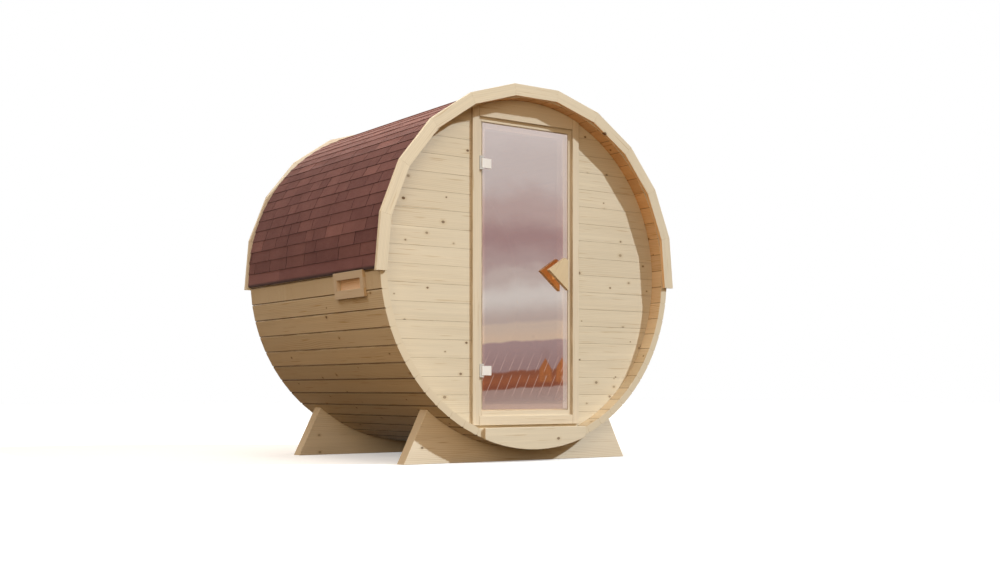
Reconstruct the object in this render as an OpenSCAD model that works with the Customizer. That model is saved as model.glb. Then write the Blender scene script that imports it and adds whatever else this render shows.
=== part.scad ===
// Barrel sauna: a round cabin of long spruce staves lying on two timber cradles.
// Upright board walls close its ends, and a framed glass door fills the front one.
// The origin is on the ground, midway between the ends; the door faces -Y.

/* [Barrel] */
// Radius to the outer face of the staves
barrel_r = 1000; // [850:10:1250]
// Length of the staves
barrel_len = 1590; // [1300:10:2600]
// Thickness of the staves
stave_t = 42; // [34:1:60]
// Number of staves round the barrel
stave_count = 62; // [48:2:76]
// Width of the bevel along each outer stave edge
stave_bevel = 4; // [1:0.5:8]
// Gap left between neighbouring staves
stave_gap = 0.5; // [0.3:0.1:0.9]

/* [Cradles] */
// Height of the barrel's lowest stave above the ground
cradle_clear = 75; // [60:5:150]
// Angle from the bottom of the barrel up to each cradle tip
cradle_wrap = 38.8; // [30:0.2:48]
// Distance that a cradle's foot reaches beyond its tip
cradle_spread = 148.4; // [60:0.2:220]
// Thickness of a cradle along the barrel
cradle_t = 74; // [45:1:100]
// Distance from the stave ends to the outer face of a cradle
cradle_inset = 137; // [60:1:300]

/* [End walls] */
// Distance from the stave ends to the outer face of an end wall
wall_recess = 85; // [40:1:150]
// Thickness of an end wall
wall_t = 42; // [30:1:60]
// Gap round the edge of an end wall
wall_gap = 0.3; // [0.2:0.1:0.9]

/* [Fascia] */
// Number of straight boards in each end arch
trim_boards = 11; // [7:2:15]
// Angle that one board of the arch spans
trim_step = 16.93; // [12:0.01:20]
// Distance of the arch's outer corners beyond the staves
trim_rise = 35.7; // [30:0.1:60]
// Width of the arch boards
trim_w = 66; // [50:1:90]
// Thickness of the arch boards
trim_t = 20; // [15:1:30]
// Gap left at each mitre
trim_gap = 0.5; // [0.3:0.1:0.9]

/* [Roofing] */
// Thickness of the shingle layers
roof_t = 11; // [6:1:16]
// Angle from the top of the barrel down to the eave
roof_angle = 92.5; // [75:0.5:93]
// Width of the starter strip along each eave
eave_w = 78; // [50:1:120]
// Thickness of the starter strip
eave_t = 17; // [12:1:20]
// Number of curved panels that carry the shingles
roof_panels = 12; // [9:3:15]

/* [Door] */
// Width of the glass door
glass_w = 600; // [500:5:720]
// Distance from the highest stave down to the glass door
door_head = 151; // [130:1:300]
// Distance from the lowest stave up to the glass door
door_foot = 176; // [160:1:300]
// Thickness of the glass
glass_t = 8; // [6:1:10]
// Gap all round the glass door
door_gap = 5.5; // [5:0.5:8]
// Depth that the frame's stop reaches over the edge of the glass
stop_lap = 28; // [15:1:35]
// Gap between the glass and the stop
stop_gap = 12; // [11:0.5:16]
// Thickness of the frame boards
frame_t = 34.5; // [25:0.5:50]
// Depth of the frame boards
frame_d = 70; // [50:1:95]
// Width of the casing boards
casing_w = 46; // [35:1:70]
// Thickness of the casing boards
casing_t = 15; // [10:1:22]
// Width of frame board that shows beside the glass
casing_set = 22.5; // [15:0.5:30]
// Width of frame board that shows over the glass
casing_set_head = 25.5; // [15:0.5:30]
// Width of frame board that shows under the glass
casing_set_sill = 29.5; // [15:0.5:30]
// Width of the bottom casing board
casing_foot = 52; // [40:1:70]

/* [Hinges and handle] */
// Distance from the top of the glass door down to the upper hinge
hinge_head = 225; // [100:1:400]
// Distance from the bottom of the glass door up to the lower hinge
hinge_foot = 216; // [100:1:400]
// Width of the glass clamp
clamp_w = 56; // [45:1:70]
// Height of the glass clamp
clamp_h = 52; // [40:1:70]
// Thickness of the clamp's front plate
clamp_t = 8; // [6:0.5:10]
// Thickness of the clamp's back plate
clamp_back_t = 6; // [4:0.5:6]
// Radius of the hinge pin
pin_r = 3; // [2:0.5:4]
// Radius of the clamp's knuckle
knuckle_r = 7; // [6:0.5:8]
// Radial clearance between the pin and the knuckle
pin_fit = 0.08; // [0.02:0.01:0.1]
// Distance from the free edge of the glass door to the handle
handle_set = 34; // [20:1:80]
// Width of the handle plates, from tip to back
handle_w = 138; // [90:1:200]
// Height of the handle plates
handle_h = 186; // [150:1:300]
// Height of the handle's peak above the barrel's axis
handle_peak = 86; // [60:1:200]
// Thickness of the handle plates
handle_t = 25; // [18:1:35]
// Depth of the blocks between the handle plates and the glass
handle_block = 28; // [20:1:45]
// Width of a handle block
handle_block_w = 52; // [44:1:70]
// Height of a handle block
handle_block_h = 62; // [54:1:90]

/* [Kick board] */
// Half the length of the kick board
kick_half_w = 352; // [250:1:420]
// Height of the kick board at its middle
kick_h = 125; // [70:1:180]
// Distance that the kick board's curved edge stands below the staves
kick_lap = 6; // [0:1:10]

/* [Vent] */
// Angle from the top of the barrel down to the vent
vent_angle = 96; // [95:0.5:120]
// Distance from the front stave ends to the vent frame
vent_inset = 156; // [80:1:600]
// Length of the vent frame
vent_len = 325; // [200:1:400]
// Length of the hole
vent_hole_len = 256; // [150:1:320]
// Height of the hole
vent_hole_h = 56; // [30:1:70]
// Distance of the hole's middle below the middle of its stave
vent_set = 5; // [0:1:8]
// Width of the frame above the hole
vent_upper = 40; // [15:1:45]
// Width of the frame below the hole
vent_lower = 46; // [20:1:60]
// Thickness of the vent frame
vent_t = 18; // [10:1:25]
// Depth of the sliding panel behind the frame
vent_panel_set = 8; // [4:1:15]
// Thickness of the sliding panel
vent_panel_t = 12; // [8:1:18]

/* [Floor] */
// Height of the floor's top above the lowest stave
floor_rise = 188; // [120:1:260]
// Thickness of the floor boards
floor_t = 22; // [18:1:30]
// Width of a floor board
floor_board_w = 95; // [70:1:140]
// Gap between floor boards
floor_board_gap = 12; // [6:1:20]
// Thickness of a floor bearer
bearer_t = 45; // [35:1:70]

/* [Hidden] */
$fn = 180;

spruce = "#dcc9a4";
spruce_shade = "#cdb48a";
shingle = "#6e4440";
white_metal = "#ebe6e1";

// Barrel
axis_h = barrel_r + cradle_clear;
stave_pitch = 360 / stave_count;
inner_r = barrel_r - stave_t;
wall_r = inner_r - wall_gap;
end_y = barrel_len / 2;
stave_groups = 8;
// The bevelled stave corners reach this far from the axis
corner_r = norm([barrel_r, barrel_r * tan(stave_pitch / 2) - stave_bevel]);
seat_gap = 0.2;
seat_r = corner_r + seat_gap;
// A cut runs past the face that it opens by this much
overcut = 1;

// Planes of the front end, from outside to inside
wall_y = -end_y + wall_recess;
casing_y = wall_y - casing_t;
glass_y = wall_y;
glass_back_y = glass_y + glass_t;
stop_y = glass_back_y + stop_gap;
frame_back_y = wall_y + frame_d;

// Door opening, in heights from the barrel's axis
glass_x = glass_w / 2;
glass_low = door_foot - inner_r;
glass_high = inner_r - door_head;
lip_x = glass_x + door_gap;
lip_low = glass_low - door_gap;
lip_high = glass_high + door_gap;
stop_x = glass_x - stop_lap;
stop_low = glass_low + stop_lap;
stop_high = glass_high - stop_lap;
frame_x = lip_x + frame_t;
frame_low = lip_low - frame_t;
frame_high = lip_high + frame_t;
casing_x = lip_x + casing_set;
casing_low = lip_low - casing_set_sill;
casing_high = lip_high + casing_set_head;
joint_gap = 0.3;

// Hinges: the pin stands just in front of the frame, beside the glass
hinge_low = glass_low + hinge_foot;
hinge_high = glass_high - hinge_head;
hinge_gap = 1.5;
leaf_gap = 1;
pin_x = -glass_x - knuckle_r;
pin_y = wall_y - knuckle_r - hinge_gap;
leaf_x = leaf_gap - casing_x;
leaf_ear_h = 10;
leaf_h = clamp_h + 2 * (leaf_ear_h + hinge_gap);
leaf_front = pin_y - knuckle_r;
leaf_plate_w = pin_x - knuckle_r - 2 * leaf_gap - leaf_x;
boss_r = 9;
boss_gap = 0.3;
boss_set = 31;
boss_x = boss_set - glass_x;

// Handle: an arrow-shaped plate outside and inside, on square blocks
handle_x = glass_x - handle_set;
handle_tip_drop = 74;
handle_shoulder = [23, 14];
handle_block_set = [24, 60];
handle_outline = [
    [handle_x - handle_w, handle_peak - handle_tip_drop],
    [handle_x - handle_shoulder.x, handle_peak],
    [handle_x, handle_peak - handle_shoulder.y],
    [handle_x, handle_peak - handle_h]
];
handle_block_x = handle_x - handle_block_set.x - handle_block_w;
handle_block_z = handle_peak - handle_block_set.y - handle_block_h;
handle_outer_y = glass_y - handle_block - handle_t;
handle_inner_y = glass_back_y + handle_block;
bolt_r = 4;
bolt_gap = 0.1;
bolt_hole_gap = 1;
bolt_cover = 6;
bolt_set = [8, 15];
bolt_points = [for (side = [-1, 1])
    [handle_block_x + handle_block_w / 2, handle_block_z + handle_block_h / 2] + side * bolt_set];

// Vent: it lies on the flat face of one stave
vent_stave = floor((360 - vent_angle) / stave_pitch);
vent_turn = (vent_stave + 0.5) * stave_pitch;
vent_hole_top = vent_hole_h / 2 - vent_set;
vent_hole_foot = vent_hole_top - vent_hole_h;
vent_top = vent_hole_top + vent_upper;
vent_foot = vent_hole_foot - vent_lower;
vent_y = -end_y + vent_inset;
vent_end_w = (vent_len - vent_hole_len) / 2;
vent_hole_y = vent_y + vent_end_w;
panel_gap = 0.5;
notch_gap = 1;

// Arch
trim_corner_r = barrel_r + trim_rise;
trim_outer = trim_corner_r * cos(trim_step / 2);
trim_inner = trim_outer - trim_w;
trim_last = (trim_boards - 1) / 2;
trim_end_z = trim_corner_r * cos((trim_last + 0.5) * trim_step);

// Roofing
roof_r = seat_r + roof_t;
eave_r = seat_r + eave_t;
eave_span = eave_w / barrel_r * 180 / PI;
roof_edge = roof_angle - eave_span;
roof_gap = 0.5;
panel_span = 2 * roof_edge / roof_panels;

// Floor
floor_end_gap = 8;
floor_side_gap = 6;
bearer_set = 60;
floor_front_y = frame_back_y + floor_end_gap;
floor_back_y = end_y - wall_recess - wall_t - floor_end_gap;
floor_top = floor_rise - inner_r;
bearer_top = floor_top - floor_t;
board_pitch = floor_board_w + floor_board_gap;
floor_half_w = sqrt(wall_r * wall_r - bearer_top * bearer_top) - floor_side_gap;
floor_count = floor((2 * floor_half_w + floor_board_gap) / board_pitch);

// Lifts a shape drawn round the barrel's axis to its height above the ground
module on_axis() {
    translate([0, 0, axis_h]) children();
}

// Extrudes an outline drawn in X and Z from y0 to y1
module along_y(y0, y1) {
    on_axis() translate([0, y1, 0]) rotate([90, 0, 0]) linear_extrude(y1 - y0) children();
}

// A block between two corners, with heights taken from the barrel's axis
module block(low, high) {
    on_axis() translate(low) cube(high - low);
}

// Turns an outline round the axis, from the top towards +X
module turned(angle) {
    rotate(-angle) children();
}

// Part of the plane between two angles from the top, less than 180 apart
module wedge(from, to) {
    reach = 2 * barrel_r;
    middle = (from + to) / 2;
    polygon([[0, 0], reach * [sin(from), cos(from)], 2 * reach * [sin(middle), cos(middle)],
        reach * [sin(to), cos(to)]]);
}

// Everything inside the barrel between two heights from the axis
module disc_between(low, high) {
    intersection() {
        circle(r = wall_r);
        translate([-barrel_r, low]) square([2 * barrel_r, high - low]);
    }
}

module stave_outline() {
    half = stave_pitch / 2;
    inner = inner_r * tan(half) - stave_gap / 2;
    shoulder_r = barrel_r - stave_bevel;
    shoulder = shoulder_r * tan(half) - stave_gap / 2;
    face = barrel_r * tan(half) - stave_bevel;
    polygon([[-inner, inner_r], [-shoulder, shoulder_r], [-face, barrel_r],
        [face, barrel_r], [shoulder, shoulder_r], [inner, inner_r]]);
}

// A block on the vent's stave: up its face, along Y, and out of the face
module on_vent_stave(foot, top, y0, len, out0, out1) {
    on_axis() rotate([0, vent_turn, 0]) translate([foot, y0, barrel_r + out0])
        cube([top - foot, len, out1 - out0]);
}

// One eighth of the barrel; group 0 starts at the top and they run towards +X
module stave_group(group) {
    first = round(group * stave_count / stave_groups);
    last = round((group + 1) * stave_count / stave_groups) - 1;
    color(spruce) difference() {
        along_y(-end_y, end_y) for (i = [first:last])
            turned((i + 0.5) * stave_pitch) stave_outline();
        if (vent_stave >= first && vent_stave <= last)
            on_vent_stave(vent_hole_foot, vent_hole_top, vent_hole_y, vent_hole_len,
                -stave_t - overcut, overcut);
    }
}

module staves_roof_right() { stave_group(0); }
module staves_shoulder_right() { stave_group(1); }
module staves_side_right() { stave_group(2); }
module staves_belly_right() { stave_group(3); }
module staves_belly_left() { stave_group(4); }
module staves_side_left() { stave_group(5); }
module staves_shoulder_left() { stave_group(6); }
module staves_roof_left() { stave_group(7); }

// A trapezoid board on edge, hollowed to the barrel's round
module cradle(outer_y, inner_y) {
    tip = barrel_r * [sin(cradle_wrap), -cos(cradle_wrap)];
    foot = tip.x + cradle_spread;
    color(spruce) along_y(outer_y, inner_y) difference() {
        polygon([[-foot, -axis_h], [foot, -axis_h], tip, [-tip.x, tip.y]]);
        circle(r = seat_r);
    }
}

module cradle_front() { cradle(-end_y + cradle_inset, -end_y + cradle_inset + cradle_t); }
module cradle_rear() { cradle(end_y - cradle_inset - cradle_t, end_y - cradle_inset); }

// Wall boards beside the door, from the frame out to the staves
module wall_side(side) {
    color(spruce) along_y(wall_y, wall_y + wall_t) intersection() {
        circle(r = wall_r);
        translate([side > 0 ? frame_x + joint_gap : -barrel_r - joint_gap - frame_x, -barrel_r])
            square([barrel_r, 2 * barrel_r]);
    }
}

module front_wall_left() { wall_side(-1); }
module front_wall_right() { wall_side(1); }

// Wall boards above and below the door, between the side boards
module wall_between(low, high) {
    color(spruce) along_y(wall_y, wall_y + wall_t) intersection() {
        disc_between(low, high);
        translate([-frame_x, -barrel_r]) square([2 * frame_x, 2 * barrel_r]);
    }
}

module front_wall_over_door() { wall_between(frame_high + joint_gap, barrel_r); }
module front_wall_under_door() { wall_between(-barrel_r, frame_low - joint_gap); }

module rear_wall() {
    color(spruce) along_y(-wall_y - wall_t, -wall_y) circle(r = wall_r);
}

// One mitred arch board; the last on each side is cut level at its foot
module arch_board(k) {
    half = trim_step / 2;
    ends = [for (side = [-1, 1]) side * k == trim_last ? 2 : 1];
    outer = [for (s = [0, 1]) trim_outer * tan(half * ends[s]) - trim_gap / 2];
    inner = [for (s = [0, 1]) trim_inner * tan(half * ends[s]) - trim_gap / 2];
    intersection() {
        turned(k * trim_step) polygon([[-inner[0], trim_inner], [-outer[0], trim_outer],
            [outer[1], trim_outer], [inner[1], trim_inner]]);
        translate([-2 * barrel_r, trim_end_z]) square(4 * barrel_r);
    }
}

module arch(y0) {
    color(spruce) along_y(y0, y0 + trim_t)
        for (k = [-trim_last:trim_last]) arch_board(k);
}

module front_fascia() { arch(-end_y - trim_t); }
module rear_fascia() { arch(end_y); }

// A curved panel on top of the staves, between two angles from the top
module roof_panel(from, to, outer_r) {
    along_y(-end_y, end_y) intersection() {
        difference() {
            circle(r = outer_r);
            circle(r = seat_r);
        }
        wedge(from, to);
    }
}

module roofing(first, last) {
    half_gap = roof_gap / barrel_r * 90 / PI;
    color(shingle) for (i = [first:last])
        roof_panel(-roof_edge + i * panel_span + half_gap, -roof_edge + (i + 1) * panel_span - half_gap,
            roof_r);
}

module roofing_left() { roofing(0, roof_panels / 3 - 1); }
module roofing_top() { roofing(roof_panels / 3, 2 * roof_panels / 3 - 1); }
module roofing_right() { roofing(2 * roof_panels / 3, roof_panels - 1); }

// The left strip is cut out round the top of the vent frame
module eave_strip_left() {
    color(shingle) difference() {
        roof_panel(-roof_angle, -roof_edge, eave_r);
        on_vent_stave(vent_foot, vent_top + notch_gap, vent_y - notch_gap, vent_len + 2 * notch_gap,
            -stave_t, 2 * vent_t);
    }
}

module eave_strip_right() {
    color(shingle) roof_panel(roof_edge, roof_angle, eave_r);
}

// Turns a shape drawn on the right into its left twin where side is -1
module on_side(side) {
    mirror([side < 0 ? 1 : 0, 0, 0]) children();
}

// Upright of the door frame: a board with a stop behind the edge of the glass
module frame_upright(side) {
    color(spruce_shade) on_side(side) {
        block([lip_x, wall_y, frame_low], [frame_x, frame_back_y, frame_high]);
        block([stop_x, stop_y, frame_low], [lip_x, frame_back_y, frame_high]);
    }
}

// Board across the door frame, cut in between the uprights
module frame_rail(lip, edge, stop) {
    low = min(lip, edge);
    high = max(lip, edge);
    color(spruce_shade) {
        block([-lip_x, wall_y, low], [lip_x, stop_y, high]);
        block([-stop_x, stop_y, min(stop, low)], [stop_x, frame_back_y, max(stop, high)]);
    }
}

module frame_left() { frame_upright(-1); }
module frame_right() { frame_upright(1); }
module frame_head() { frame_rail(lip_high, frame_high, stop_high); }
module frame_sill() { frame_rail(lip_low, frame_low, stop_low); }

// Casing boards cover the joint between the frame and the wall boards
module casing_upright(side) {
    low = casing_low - casing_foot;
    color(spruce) on_side(side) along_y(casing_y, wall_y) intersection() {
        circle(r = wall_r);
        translate([casing_x, low]) square([casing_w, barrel_r - low]);
    }
}

module casing_left() { casing_upright(-1); }
module casing_right() { casing_upright(1); }

module casing_header() {
    color(spruce) along_y(casing_y, wall_y) intersection() {
        disc_between(casing_high, barrel_r);
        translate([joint_gap - casing_x, 0]) square([2 * (casing_x - joint_gap), barrel_r]);
    }
}

module casing_foot_board() {
    color(spruce) block([joint_gap - casing_x, casing_y, casing_low - casing_foot],
        [casing_x - joint_gap, wall_y, casing_low]);
}

// Board nailed to the lowest stave ends, its lower edge sawn to the barrel's round
module kick_board() {
    color(spruce) along_y(-end_y - trim_t, -end_y) intersection() {
        circle(r = barrel_r + kick_lap);
        translate([-kick_half_w, -barrel_r - kick_lap]) square([2 * kick_half_w, kick_h]);
    }
}

module vent_frame() {
    color(spruce_shade) {
        on_vent_stave(vent_hole_top, vent_top, vent_y, vent_len, seat_gap, vent_t);
        on_vent_stave(vent_foot, vent_hole_foot, vent_y, vent_len, seat_gap, vent_t);
        for (y = [vent_y, vent_y + vent_len - vent_end_w])
            on_vent_stave(vent_hole_foot, vent_hole_top, y, vent_end_w, seat_gap, vent_t);
    }
}

module vent_panel() {
    color(spruce_shade) on_vent_stave(vent_hole_foot + panel_gap, vent_hole_top - panel_gap,
        vent_hole_y + panel_gap, vent_hole_len - 2 * panel_gap,
        -vent_panel_set - vent_panel_t, -vent_panel_set);
}

// Bearers rest on the staves and are sawn to their round
module floor_bearers() {
    span = floor_back_y - floor_front_y - bearer_t - 2 * bearer_set;
    color(spruce_shade) for (i = [0:2]) {
        y = floor_front_y + bearer_set + i * span / 2;
        along_y(y, y + bearer_t) disc_between(-barrel_r, bearer_top - joint_gap);
    }
}

module floor_boards() {
    start = -(floor_count * board_pitch - floor_board_gap) / 2;
    color(spruce_shade) for (i = [0:floor_count - 1])
        block([start + i * board_pitch, floor_front_y, bearer_top],
            [start + i * board_pitch + floor_board_w, floor_back_y, floor_top]);
}

// Fixed half of a hinge: a plate on the frame with two ears that hold the pin
module hinge_leaf(z) {
    low = z - leaf_h / 2;
    high = z + leaf_h / 2;
    color(white_metal) {
        block([leaf_x, leaf_front, low], [leaf_x + leaf_plate_w, wall_y, high]);
        for (ear = [low, high - leaf_ear_h])
            block([leaf_x, leaf_front, ear], [pin_x + knuckle_r, wall_y - leaf_gap, ear + leaf_ear_h]);
        on_axis() translate([pin_x, pin_y, low + leaf_ear_h / 2])
            cylinder(r = pin_r, h = leaf_h - leaf_ear_h);
    }
}

module hinge_leaf_upper() { hinge_leaf(hinge_high); }
module hinge_leaf_lower() { hinge_leaf(hinge_low); }

// A bolt or boss along Y through the glass door
module through(x, z, r, y0, y1) {
    along_y(y0, y1) translate([x, z]) circle(r = r);
}

module glass_door() {
    color("#b9a6a4", 0.6) difference() {
        block([-glass_x, glass_y, glass_low], [glass_x, glass_back_y, glass_high]);
        for (z = [hinge_low, hinge_high])
            through(boss_x, z, boss_r + boss_gap, glass_y - overcut, glass_back_y + overcut);
        for (p = bolt_points)
            through(p.x, p.y, bolt_r + bolt_hole_gap, glass_y - overcut, glass_back_y + overcut);
    }
}

// Moving half of a hinge: two plates that clamp the glass, and a knuckle on the pin
module hinge_clamp(z) {
    low = z - clamp_h / 2;
    high = z + clamp_h / 2;
    right = -glass_x + clamp_w;
    color(white_metal) difference() {
        union() {
            block([pin_x, glass_y - joint_gap - clamp_t, low], [right, glass_y - joint_gap, high]);
            block([leaf_gap - glass_x, glass_back_y + joint_gap, low],
                [right, glass_back_y + clamp_back_t, high]);
            through(boss_x, z, boss_r, glass_y - overcut, glass_back_y + overcut);
            on_axis() translate([pin_x, pin_y, low]) cylinder(r = knuckle_r, h = clamp_h);
        }
        on_axis() translate([pin_x, pin_y, low - overcut])
            cylinder(r = pin_r + pin_fit, h = clamp_h + 2 * overcut);
    }
}

module hinge_clamp_upper() { hinge_clamp(hinge_high); }
module hinge_clamp_lower() { hinge_clamp(hinge_low); }

// A handle plate and its block, with blind holes for the bolts
module handle(plate_y, block_y) {
    bolt_low = handle_outer_y + bolt_cover;
    bolt_high = handle_inner_y + handle_t - bolt_cover;
    color(spruce_shade) difference() {
        union() {
            along_y(plate_y, plate_y + handle_t) polygon(handle_outline);
            block([handle_block_x, block_y, handle_block_z],
                [handle_block_x + handle_block_w, block_y + handle_block, handle_block_z + handle_block_h]);
        }
        for (p = bolt_points)
            through(p.x, p.y, bolt_r + bolt_gap, bolt_low - bolt_gap, bolt_high + bolt_gap);
    }
}

module handle_outer() { handle(handle_outer_y, handle_outer_y + handle_t); }
module handle_inner() { handle(handle_inner_y, glass_back_y); }

module handle_bolts() {
    color("silver") for (p = bolt_points)
        through(p.x, p.y, bolt_r, handle_outer_y + bolt_cover, handle_inner_y + handle_t - bolt_cover);
}

cradle_front();
cradle_rear();
staves_roof_right();
staves_shoulder_right();
staves_side_right();
staves_belly_right();
staves_belly_left();
staves_side_left();
staves_shoulder_left();
staves_roof_left();
front_wall_left();
front_wall_right();
front_wall_over_door();
front_wall_under_door();
rear_wall();
front_fascia();
rear_fascia();
roofing_left();
roofing_top();
roofing_right();
eave_strip_left();
eave_strip_right();
frame_left();
frame_right();
frame_head();
frame_sill();
casing_left();
casing_right();
casing_header();
casing_foot_board();
kick_board();
vent_frame();
vent_panel();
floor_bearers();
floor_boards();
hinge_leaf_upper();
hinge_leaf_lower();
glass_door();
hinge_clamp_upper();
hinge_clamp_lower();
handle_outer();
handle_inner();
handle_bolts();
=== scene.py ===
"""Barrel sauna: long spruce staves on two timber cradles, board ends, a shingled roof and a glass door."""
import math
import random

import bmesh
import bpy
from mathutils import Matrix, Vector


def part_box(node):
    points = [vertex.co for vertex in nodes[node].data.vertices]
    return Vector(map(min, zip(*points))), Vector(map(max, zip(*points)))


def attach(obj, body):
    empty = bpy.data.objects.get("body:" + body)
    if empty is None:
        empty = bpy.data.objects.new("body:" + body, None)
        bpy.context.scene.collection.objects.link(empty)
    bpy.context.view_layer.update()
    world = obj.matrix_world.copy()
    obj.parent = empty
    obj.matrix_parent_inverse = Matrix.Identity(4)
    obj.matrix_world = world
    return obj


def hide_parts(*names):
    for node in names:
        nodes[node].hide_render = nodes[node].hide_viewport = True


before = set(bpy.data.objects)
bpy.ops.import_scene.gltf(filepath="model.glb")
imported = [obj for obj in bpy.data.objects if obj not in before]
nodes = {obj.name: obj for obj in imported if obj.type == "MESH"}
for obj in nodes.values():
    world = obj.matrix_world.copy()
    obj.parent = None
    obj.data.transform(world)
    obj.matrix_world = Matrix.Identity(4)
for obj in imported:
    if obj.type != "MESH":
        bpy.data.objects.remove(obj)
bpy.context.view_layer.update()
scene = bpy.context.scene
timber_yard = random.Random(62)


# ---------------------------------------------------------------- studio
# The sauna stands on a plain pale floor in a white room. A sun from the right gives the
# arch its shadow, and soft panels fill the top, the front, the left side and the back.

WALL_GLOW, CEILING_GLOW = (0.32, 0.20, 0.085, 1), (0.60, 0.54, 0.48, 1)
FLOOR_BOUNCE, FLOOR_SEEN = (0.12, 0.065, 0.018, 1), (0.8, 0.8, 0.8, 1)
FLOOR_LIFT = 0.39
WHITE = (1, 1, 1, 1)


def put(tree, kind, values=(), **settings):
    """Adds a shader node. Its inputs are given by place or by name, as values or as sockets to link."""
    made = tree.nodes.new(kind)
    for name, value in settings.items():
        setattr(made, name, value)
    for key, value in values.items() if isinstance(values, dict) else enumerate(values):
        if isinstance(value, bpy.types.NodeSocket):
            tree.links.new(value, made.inputs[key])
        elif value is not None:
            made.inputs[key].default_value = value
    return made


def seen_directly(tree):
    """1 for rays from the camera, and for those that a mirror or glass passes on."""
    path = put(tree, "ShaderNodeLightPath")
    seen = path.outputs["Is Camera Ray"]
    for ray in ("Is Glossy Ray", "Is Transmission Ray"):
        seen = put(tree, "ShaderNodeMath", (seen, path.outputs[ray]), operation="MAXIMUM").outputs[0]
    return seen


camera = bpy.data.objects.new("camera", bpy.data.cameras.new("camera"))
scene.collection.objects.link(camera)
camera.location = (-4.303, -6.512, 0.400)
camera.rotation_euler = (math.radians(90), 0, math.radians(-35.4))
camera.data.lens = 45.87
camera.data.shift_y = 0.1083
scene.camera = camera
scene.view_settings.view_transform = "Standard"

world = bpy.data.worlds.new("white studio")
world.use_nodes = True
tree = world.node_tree
tree.nodes.clear()
upward = put(tree, "ShaderNodeTexCoord").outputs["Generated"]
height = put(tree, "ShaderNodeSeparateXYZ", (upward,)).outputs["Z"]
wall_to_ceiling = put(tree, "ShaderNodeMix", {0: height, 6: WALL_GLOW, 7: CEILING_GLOW}, data_type="RGBA")
room = put(tree, "ShaderNodeBackground", (wall_to_ceiling.outputs[2], 1.0))
backdrop = put(tree, "ShaderNodeBackground", (WHITE, 1.0))
shown = put(tree, "ShaderNodeMixShader", (seen_directly(tree), room.outputs[0], backdrop.outputs[0]))
put(tree, "ShaderNodeOutputWorld", (shown.outputs[0],))
scene.world = world


def lamp(name, kind, direction, distance, energy, colour, size):
    """A sun or a square soft lamp that shines on the middle of the sauna from this direction."""
    data = bpy.data.lights.new(name, kind)
    data.energy = energy
    data.color = colour
    if kind == "SUN":
        data.angle = math.radians(size)
    else:
        data.size = size
    made = bpy.data.objects.new(name, data)
    scene.collection.objects.link(made)
    towards = Vector(direction).normalized()
    made.location = Vector((0, 0, 1)) + distance * towards
    made.rotation_euler = towards.to_track_quat("Z", "Y").to_euler()
    made.visible_glossy = name == "sky panel"


lamp("sun", "SUN", (0.85, -1.0, 1.0), 8, 2.55, (0.85, 0.95, 1.0), 1.5)
lamp("sky panel", "AREA", (-0.3, -0.1, 1.0), 6, 180, (1.0, 0.95, 0.88), 4.0)
lamp("front panel", "AREA", (-0.9, -1.0, 0.25), 7, 104, (1.0, 0.79, 0.54), 3.2)
lamp("side panel", "AREA", (-1.0, -0.2, 0.8), 6, 38, (0.92, 0.98, 1.0), 1.2)
lamp("back panel", "AREA", (0.15, 1.0, 0.12), 7, 110, (1.0, 0.86, 0.70), 4.0)

bpy.ops.mesh.primitive_plane_add(size=60)
floor = bpy.context.object
floor.name = "floor"
floor_paint = bpy.data.materials.new("pale floor")
floor_paint.use_nodes = True
tree = floor_paint.node_tree
tree.nodes.clear()
seen = seen_directly(tree)
matt = put(tree, "ShaderNodeMix", {0: seen, 6: FLOOR_BOUNCE, 7: FLOOR_SEEN}, data_type="RGBA")
lit = put(tree, "ShaderNodeBsdfDiffuse", (matt.outputs[2],))
lift = put(tree, "ShaderNodeMath", (seen, FLOOR_LIFT), operation="MULTIPLY")
glow = put(tree, "ShaderNodeEmission", (WHITE, lift.outputs[0]))
both = put(tree, "ShaderNodeAddShader", (lit.outputs[0], glow.outputs[0]))
put(tree, "ShaderNodeOutputMaterial", (both.outputs[0],))
floor.data.materials.append(floor_paint)


# ---------------------------------------------------------------- spruce
# Every timber piece is planed spruce. A board's mesh carries its own coordinates along
# and across the grain, its tone, and marks on its faces for sawn ends, for dark joints
# with painted shade, and for painted warm bounce light under the roof. The finish reads them.

KNOT_BROWN = (0.10, 0.045, 0.018, 1)
FINISH = [("Color", "Color"), ("Roughness", "Float"), ("Height", "Float")]


def colour_mix(tree, factor, first, second, blend="MIX"):
    mixed = put(tree, "ShaderNodeMix", {0: factor, 6: first, 7: second}, data_type="RGBA", blend_type=blend)
    return mixed.outputs[2]


def maths(tree, operation, first, second=None, third=None):
    return put(tree, "ShaderNodeMath", (first, second, third), operation=operation).outputs[0]


def times(tree, first, second):
    return maths(tree, "MULTIPLY", first, second)


def soft_step(tree, value, low, high):
    """0 where the value is at low, 1 at high, and smooth between."""
    step = put(tree, "ShaderNodeMapRange", {0: value, 1: low, 2: high}, interpolation_type="SMOOTHSTEP")
    return step.outputs[0]


def noise(tree, where, stretch, detail=2.0):
    """Noise from 0 to 1 with its blobs squeezed by these factors along the three board directions."""
    squeezed = put(tree, "ShaderNodeVectorMath", (where, stretch), operation="MULTIPLY")
    blobs = put(tree, "ShaderNodeTexNoise", {0: squeezed.outputs[0], "Scale": 1.0, "Detail": detail})
    return blobs.outputs[0]


def new_group(name, inputs, outputs):
    """An empty shader node group; returns its tree and its input sockets by name."""
    group = bpy.data.node_groups.new(name, "ShaderNodeTree")
    for side, sockets in (("INPUT", inputs), ("OUTPUT", outputs)):
        for label, kind in sockets:
            group.interface.new_socket(label, in_out=side, socket_type="NodeSocket" + kind)
    return group, put(group, "NodeGroupInput").outputs


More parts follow.
